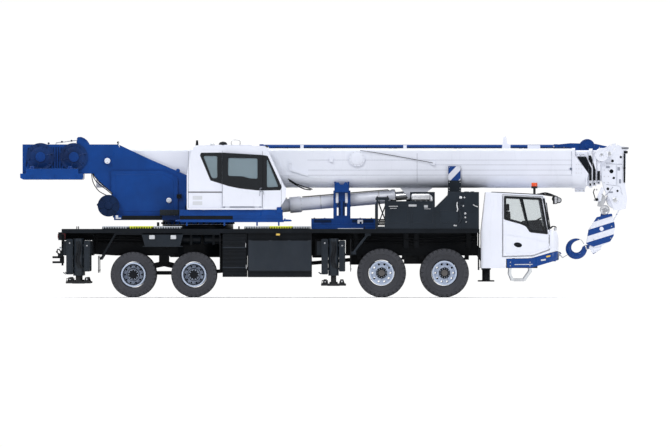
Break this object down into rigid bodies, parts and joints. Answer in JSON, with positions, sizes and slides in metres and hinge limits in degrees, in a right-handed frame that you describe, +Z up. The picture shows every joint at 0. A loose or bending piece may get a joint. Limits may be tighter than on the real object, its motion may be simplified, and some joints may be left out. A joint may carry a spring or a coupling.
{
  "type": "mobile crane",
  "caption": "Truck-mounted mobile crane with a telescopic boom, slewing upper works, outriggers and two cabs, in road position.",
  "frame": {"origin": "on the ground, at the middle of the whole crane's box in road position", "axes": "+X forward, along the boom in road position; +Z up; the operator's cab is on the -Y side"},
  "size_m": [14.58, 2.8, 3.86],
  "materials": {
    "tyre": "matt black rubber",
    "rim_paint": "pale blue-grey paint",
    "cast_steel": "dark painted casting",
    "charcoal_paint": "charcoal satin paint",
    "glass": "tinted glass",
    "black_plastic": "black moulded plastic",
    "white_paint": "gloss white paint",
    "blue_paint": "gloss blue paint",
    "chromed_rod": "polished chrome"
  },
  "bodies": {
    "carrier": {"chassis_frame": "charcoal_paint", "carrier_bodywork": "charcoal_paint", "driveline": "cast_steel", "engine_hood": "charcoal_paint", "boom_cradle": "blue_paint", "driver_cab_shell": "white_paint", "driver_cab_glass": "glass", "driver_cab_fittings": "black_plastic", "front_bumper": "blue_paint"},
    "wheel_axle_1_right": {"tyre_axle_1_right": "tyre", "rim_axle_1_right": "rim_paint"},
    "knuckle_axle_1_right": {"knuckle_axle_1_right": "cast_steel"},
    "wheel_axle_1_left": {"tyre_axle_1_left": "tyre", "rim_axle_1_left": "rim_paint"},
    "knuckle_axle_1_left": {"knuckle_axle_1_left": "cast_steel"},
    "wheel_axle_2_right": {"tyre_axle_2_right": "tyre", "rim_axle_2_right": "rim_paint"},
    "knuckle_axle_2_right": {"knuckle_axle_2_right": "cast_steel"},
    "wheel_axle_2_left": {"tyre_axle_2_left": "tyre", "rim_axle_2_left": "rim_paint"},
    "knuckle_axle_2_left": {"knuckle_axle_2_left": "cast_steel"},
    "wheel_axle_3_right": {"tyre_axle_3_right": "tyre", "rim_axle_3_right": "rim_paint"},
    "wheel_axle_3_left": {"tyre_axle_3_left": "tyre", "rim_axle_3_left": "rim_paint"},
    "wheel_axle_4_right": {"tyre_axle_4_right": "tyre", "rim_axle_4_right": "rim_paint"},
    "wheel_axle_4_left": {"tyre_axle_4_left": "tyre", "rim_axle_4_left": "rim_paint"},
    "outrigger_beam_rear_right": {"outrigger_beam_rear_right": "charcoal_paint"},
    "jack_rear_right": {"jack_rear_right": "charcoal_paint"},
    "outrigger_beam_rear_left": {"outrigger_beam_rear_left": "charcoal_paint"},
    "jack_rear_left": {"jack_rear_left": "charcoal_paint"},
    "outrigger_beam_front_right": {"outrigger_beam_front_right": "charcoal_paint"},
    "jack_front_right": {"jack_front_right": "charcoal_paint"},
    "outrigger_beam_front_left": {"outrigger_beam_front_left": "charcoal_paint"},
    "jack_front_left": {"jack_front_left": "charcoal_paint"},
    "jack_front_centre": {"jack_front_centre": "charcoal_paint"},
    "driver_door_right": {"driver_door_right": "white_paint", "driver_door_glass_right": "glass"},
    "driver_door_left": {"driver_door_left": "white_paint", "driver_door_glass_left": "glass"},
    "upperworks": {"slewing_frame": "blue_paint", "counterweight": "blue_paint", "winch_drums": "blue_paint", "operator_cab_shell": "white_paint", "operator_cab_glass": "glass", "operator_seat": "black_plastic"},
    "operator_door": {"operator_door": "white_paint", "operator_door_glass": "glass"},
    "boom": {"boom_base": "white_paint", "stowed_jib": "blue_paint"},
    "lift_barrel": {"lift_barrel": "white_paint"},
    "lift_rod": {"lift_rod": "chromed_rod"},
    "boom_section_2": {"boom_section_2": "white_paint"},
    "boom_section_3": {"boom_section_3": "white_paint"},
    "boom_section_4": {"boom_section_4": "white_paint"},
    "boom_section_5": {"boom_section_5": "white_paint"},
    "hook_block": {"hook_block": "blue_paint"},
    "hook": {"hook": "blue_paint"}
  },
  "joints": [
    {"name": "steer_axle_1_right", "type": "hinge", "parent": "carrier", "child": "knuckle_axle_1_right", "pos_m": [2.865, -0.9, 0.585], "axis": [0, 0, 1], "range_deg": [-32, 32]},
    {"name": "spin_axle_1_right", "type": "hinge", "parent": "knuckle_axle_1_right", "child": "wheel_axle_1_right", "pos_m": [2.865, -1.185, 0.585], "axis": [0, 1, 0], "continuous": true},
    {"name": "steer_axle_1_left", "type": "hinge", "parent": "carrier", "child": "knuckle_axle_1_left", "pos_m": [2.865, 0.9, 0.585], "axis": [0, 0, 1], "range_deg": [-32, 32]},
    {"name": "spin_axle_1_left", "type": "hinge", "parent": "knuckle_axle_1_left", "child": "wheel_axle_1_left", "pos_m": [2.865, 1.185, 0.585], "axis": [0, 1, 0], "continuous": true},
    {"name": "steer_axle_2_right", "type": "hinge", "parent": "carrier", "child": "knuckle_axle_2_right", "pos_m": [1.36, -0.9, 0.585], "axis": [0, 0, 1], "range_deg": [-22.4, 22.4]},
    {"name": "spin_axle_2_right", "type": "hinge", "parent": "knuckle_axle_2_right", "child": "wheel_axle_2_right", "pos_m": [1.36, -1.185, 0.585], "axis": [0, 1, 0], "continuous": true},
    {"name": "steer_axle_2_left", "type": "hinge", "parent": "carrier", "child": "knuckle_axle_2_left", "pos_m": [1.36, 0.9, 0.585], "axis": [0, 0, 1], "range_deg": [-22.4, 22.4]},
    {"name": "spin_axle_2_left", "type": "hinge", "parent": "knuckle_axle_2_left", "child": "wheel_axle_2_left", "pos_m": [1.36, 1.185, 0.585], "axis": [0, 1, 0], "continuous": true},
    {"name": "spin_axle_3_right", "type": "hinge", "parent": "carrier", "child": "wheel_axle_3_right", "pos_m": [-3.13, -1.085, 0.545], "axis": [0, 1, 0], "continuous": true},
    {"name": "spin_axle_3_left", "type": "hinge", "parent": "carrier", "child": "wheel_axle_3_left", "pos_m": [-3.13, 1.085, 0.545], "axis": [0, 1, 0], "continuous": true},
    {"name": "spin_axle_4_right", "type": "hinge", "parent": "carrier", "child": "wheel_axle_4_right", "pos_m": [-4.58, -1.085, 0.545], "axis": [0, 1, 0], "continuous": true},
    {"name": "spin_axle_4_left", "type": "hinge", "parent": "carrier", "child": "wheel_axle_4_left", "pos_m": [-4.58, 1.085, 0.545], "axis": [0, 1, 0], "continuous": true},
    {"name": "extend_rear_right", "type": "slide", "parent": "carrier", "child": "outrigger_beam_rear_right", "axis": [0, -1, 0], "range_m": [0, 1.75]},
    {"name": "lower_rear_right", "type": "slide", "parent": "outrigger_beam_rear_right", "child": "jack_rear_right", "axis": [0, 0, -1], "range_m": [0, 0.5]},
    {"name": "extend_rear_left", "type": "slide", "parent": "carrier", "child": "outrigger_beam_rear_left", "axis": [0, 1, 0], "range_m": [0, 1.75]},
    {"name": "lower_rear_left", "type": "slide", "parent": "outrigger_beam_rear_left", "child": "jack_rear_left", "axis": [0, 0, -1], "range_m": [0, 0.5]},
    {"name": "extend_front_right", "type": "slide", "parent": "carrier", "child": "outrigger_beam_front_right", "axis": [0, -1, 0], "range_m": [0, 1.75]},
    {"name": "lower_front_right", "type": "slide", "parent": "outrigger_beam_front_right", "child": "jack_front_right", "axis": [0, 0, -1], "range_m": [0, 0.5]},
    {"name": "extend_front_left", "type": "slide", "parent": "carrier", "child": "outrigger_beam_front_left", "axis": [0, 1, 0], "range_m": [0, 1.75]},
    {"name": "lower_front_left", "type": "slide", "parent": "outrigger_beam_front_left", "child": "jack_front_left", "axis": [0, 0, -1], "range_m": [0, 0.5]},
    {"name": "lower_front_centre", "type": "slide", "parent": "carrier", "child": "jack_front_centre", "axis": [0, 0, -1], "range_m": [0, 0.45]},
    {"name": "open_driver_door_right", "type": "hinge", "parent": "carrier", "child": "driver_door_right", "pos_m": [5.366, -1.25, 1.4], "axis": [0, 0, 1], "range_deg": [0, 65]},
    {"name": "open_driver_door_left", "type": "hinge", "parent": "carrier", "child": "driver_door_left", "pos_m": [5.366, 1.25, 1.4], "axis": [0, 0, -1], "range_deg": [0, 65]},
    {"name": "slew", "type": "hinge", "parent": "carrier", "child": "upperworks", "pos_m": [-3.045, 0, 1.745], "axis": [0, 0, 1], "continuous": true},
    {"name": "slide_operator_door", "type": "slide", "parent": "upperworks", "child": "operator_door", "axis": [-1, 0, 0], "range_m": [0, 0.8]},
    {"name": "luff", "type": "hinge", "parent": "upperworks", "child": "boom", "pos_m": [-5.21, 0, 3.27], "axis": [0, -1, 0], "range_deg": [0, 82]},
    {"name": "lift_tilt", "type": "hinge", "parent": "upperworks", "child": "lift_barrel", "pos_m": [-2.685, 0, 2.055], "axis": [0, -1, 0], "range_deg": [0, 90.1]},
    {"name": "lift_extend", "type": "slide", "parent": "lift_barrel", "child": "lift_rod", "axis": [0.9965, 0, 0.0834], "range_m": [0, 3.58]},
    {"name": "telescope_2", "type": "slide", "parent": "boom", "child": "boom_section_2", "axis": [1, 0, 0], "range_m": [0, 8.8]},
    {"name": "telescope_3", "type": "slide", "parent": "boom_section_2", "child": "boom_section_3", "axis": [1, 0, 0], "range_m": [0, 8.8]},
    {"name": "telescope_4", "type": "slide", "parent": "boom_section_3", "child": "boom_section_4", "axis": [1, 0, 0], "range_m": [0, 8.8]},
    {"name": "telescope_5", "type": "slide", "parent": "boom_section_4", "child": "boom_section_5", "axis": [1, 0, 0], "range_m": [0, 8.8]},
    {"name": "block_swing", "type": "hinge", "parent": "boom_section_5", "child": "hook_block", "pos_m": [6.96, 0, 2.33], "axis": [0, 1, 0], "range_deg": [0, 50]},
    {"name": "hook_turn", "type": "hinge", "parent": "hook_block", "child": "hook", "pos_m": [6.3, 0, 1.205], "axis": [0.953, 0, 0.303], "continuous": true}
  ],
  "couplings": [
    {"joint": "steer_axle_1_right", "follows": "steer_axle_1_left", "ratio": 1},
    {"joint": "steer_axle_2_right", "follows": "steer_axle_1_left", "ratio": 0.7},
    {"joint": "steer_axle_2_left", "follows": "steer_axle_1_left", "ratio": 0.7},
    {"joint": "lift_tilt", "follows": "luff", "ratio": 1.0978},
    {"joint": "lift_extend", "follows": "luff", "m_per_rad": 2.493},
    {"joint": "telescope_3", "follows": "telescope_2", "ratio": 1},
    {"joint": "telescope_4", "follows": "telescope_2", "ratio": 1},
    {"joint": "telescope_5", "follows": "telescope_2", "ratio": 1},
    {"joint": "block_swing", "follows": "luff", "ratio": 0.60976}
  ]
}
